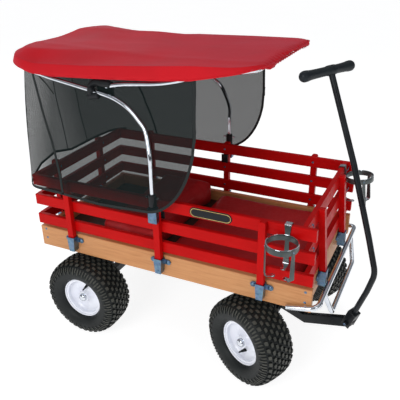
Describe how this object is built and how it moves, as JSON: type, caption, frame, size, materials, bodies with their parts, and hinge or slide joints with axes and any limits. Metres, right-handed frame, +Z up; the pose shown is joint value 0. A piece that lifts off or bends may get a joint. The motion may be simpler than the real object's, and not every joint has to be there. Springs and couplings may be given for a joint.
{
  "type": "wagon with pull handle",
  "caption": "Wooden garden wagon with a steering pull handle, lift-out slatted racks, pneumatic turf wheels, seat cushions, cup holders and a mesh-sided shade canopy.",
  "frame": {"origin": "middle of the wagon's footprint, on the ground", "axes": "+X towards the pull handle, +Y to the wagon's left, +Z up"},
  "size_m": [1.1791, 0.707, 0.984],
  "materials": {
    "red_paint": "gloss red enamel on wood slats",
    "oak": "clear varnished oak",
    "deck_board": "dark sealed plywood",
    "zinc": "bright zinc plate",
    "chrome": "polished",
    "black_steel": "gloss black powder coat",
    "grey_steel": "dark grey powder coat on flat strap",
    "tyre_rubber": "black rubber, turf tread",
    "rim_white": "gloss white",
    "cushion_vinyl": "burgundy vinyl over foam",
    "canopy_cloth": "red coated nylon",
    "mesh_cloth": "black sun mesh",
    "black_grip": "black moulded plastic and rubber"
  },
  "bodies": {
    "tray": {"side_board_left": "oak", "side_board_right": "oak", "front_board": "oak", "rear_board": "oak", "deck_panel": "deck_board", "seat_cushion": "cushion_vinyl", "floor_mat": "cushion_vinyl", "undercarriage_frame": "black_steel", "front_axle": "black_steel", "rear_axle": "black_steel", "bumper": "chrome", "bracket_left_rear": "zinc", "bracket_left_middle": "zinc", "bracket_left_front": "zinc", "bracket_right_rear": "zinc", "bracket_right_middle": "zinc", "bracket_right_front": "zinc", "bracket_front_gate_left": "zinc", "bracket_front_gate_right": "zinc", "bracket_rear_gate_left": "zinc", "bracket_rear_gate_right": "zinc"},
    "left_rack": {"left_rail_lower": "red_paint", "left_rail_middle": "red_paint", "left_rail_upper": "red_paint", "left_post_rear": "red_paint", "left_post_middle": "red_paint", "left_post_front": "red_paint", "canopy_socket_left": "zinc"},
    "right_rack": {"right_rail_lower": "red_paint", "right_rail_middle": "red_paint", "right_rail_upper": "red_paint", "right_post_rear": "red_paint", "right_post_middle": "red_paint", "right_post_front": "red_paint", "canopy_socket_right": "zinc"},
    "front_gate_panel": {"front_gate": "red_paint"},
    "rear_gate_panel": {"rear_gate": "red_paint"},
    "front_cup_holder": {"cup_holder_front": "grey_steel"},
    "right_cup_holder": {"cup_holder_right": "grey_steel"},
    "canopy": {"main_bow": "chrome", "bow_clamp_left": "black_grip", "bow_clamp_right": "black_grip", "canopy_rear": "canopy_cloth", "mesh_curtain": "mesh_cloth"},
    "visor": {"front_bow": "chrome", "canopy_front": "canopy_cloth"},
    "tongue_bar": {"tongue": "black_steel"},
    "tie_rod_bar": {"tie_rod": "black_steel"},
    "handle": {"pull_handle": "black_steel", "t_grip": "black_grip"},
    "left_knuckle": {"knuckle_left": "black_steel"},
    "right_knuckle": {"knuckle_right": "black_steel"},
    "front_left_wheel": {"tyre_front_left": "tyre_rubber", "rim_front_left": "rim_white"},
    "front_right_wheel": {"tyre_front_right": "tyre_rubber", "rim_front_right": "rim_white"},
    "rear_left_wheel": {"tyre_rear_left": "tyre_rubber", "rim_rear_left": "rim_white"},
    "rear_right_wheel": {"tyre_rear_right": "tyre_rubber", "rim_rear_right": "rim_white"}
  },
  "joints": [
    {"name": "tongue_steer", "type": "hinge", "parent": "tray", "child": "tongue_bar", "pos_m": [0.2819, 0, 0.115], "axis": [0, 0, 1], "range_deg": [-10, 55]},
    {"name": "tie_rod_pivot", "type": "hinge", "parent": "tongue_bar", "child": "tie_rod_bar", "pos_m": [0.22752, 0.02536, 0.1395], "axis": [0, 0, 1], "range_deg": [-55, 10]},
    {"name": "handle_tilt", "type": "hinge", "parent": "tongue_bar", "child": "handle", "pos_m": [0.5266, -0.11411, 0.199], "axis": [0.4226, 0.9063, 0], "range_deg": [0, 110]},
    {"name": "left_knuckle_steer", "type": "hinge", "parent": "tray", "child": "left_knuckle", "pos_m": [0.2819, 0.1865, 0.142], "axis": [0, 0, 1], "range_deg": [-10, 55]},
    {"name": "front_left_wheel_spin", "type": "hinge", "parent": "left_knuckle", "child": "front_left_wheel", "pos_m": [0.30979, 0.24632, 0.142], "axis": [0.4226, 0.9063, 0], "continuous": true},
    {"name": "right_knuckle_steer", "type": "hinge", "parent": "tray", "child": "right_knuckle", "pos_m": [0.2819, -0.1865, 0.142], "axis": [0, 0, 1], "range_deg": [-10, 55]},
    {"name": "front_right_wheel_spin", "type": "hinge", "parent": "right_knuckle", "child": "front_right_wheel", "pos_m": [0.25401, -0.24632, 0.142], "axis": [0.4226, 0.9063, 0], "continuous": true},
    {"name": "rear_left_wheel_spin", "type": "hinge", "parent": "tray", "child": "rear_left_wheel", "pos_m": [-0.3462, 0.2515, 0.142], "axis": [0, 1, 0], "continuous": true},
    {"name": "rear_right_wheel_spin", "type": "hinge", "parent": "tray", "child": "rear_right_wheel", "pos_m": [-0.3462, -0.2515, 0.142], "axis": [0, 1, 0], "continuous": true},
    {"name": "left_rack_lift", "type": "slide", "parent": "tray", "child": "left_rack", "axis": [0, 0, 1], "range_m": [0, 0.055]},
    {"name": "right_rack_lift", "type": "slide", "parent": "tray", "child": "right_rack", "axis": [0, 0, 1], "range_m": [0, 0.055]},
    {"name": "front_gate_lift", "type": "slide", "parent": "tray", "child": "front_gate_panel", "axis": [0, 0, 1], "range_m": [0, 0.055]},
    {"name": "rear_gate_lift", "type": "slide", "parent": "tray", "child": "rear_gate_panel", "axis": [0, 0, 1], "range_m": [0, 0.055]},
    {"name": "right_cup_holder_lift", "type": "slide", "parent": "right_rack", "child": "right_cup_holder", "axis": [0, 0, 1], "range_m": [0, 0.04]},
    {"name": "front_cup_holder_lift", "type": "slide", "parent": "front_gate_panel", "child": "front_cup_holder", "axis": [-0.0906, 0, 0.9959], "range_m": [0, 0.04]},
    {"name": "canopy_lift", "type": "slide", "parent": "tray", "child": "canopy", "axis": [0, 0, 1], "range_m": [0, 0.06]},
    {"name": "visor_tilt", "type": "hinge", "parent": "canopy", "child": "visor", "pos_m": [-0.2012, 0, 0.886], "axis": [0, 1, 0], "range_deg": [0, 18]}
  ],
  "couplings": [
    {"joint": "tie_rod_pivot", "follows": "tongue_steer", "ratio": -1},
    {"joint": "left_knuckle_steer", "follows": "tongue_steer", "ratio": 1},
    {"joint": "right_knuckle_steer", "follows": "tongue_steer", "ratio": 1}
  ]
}
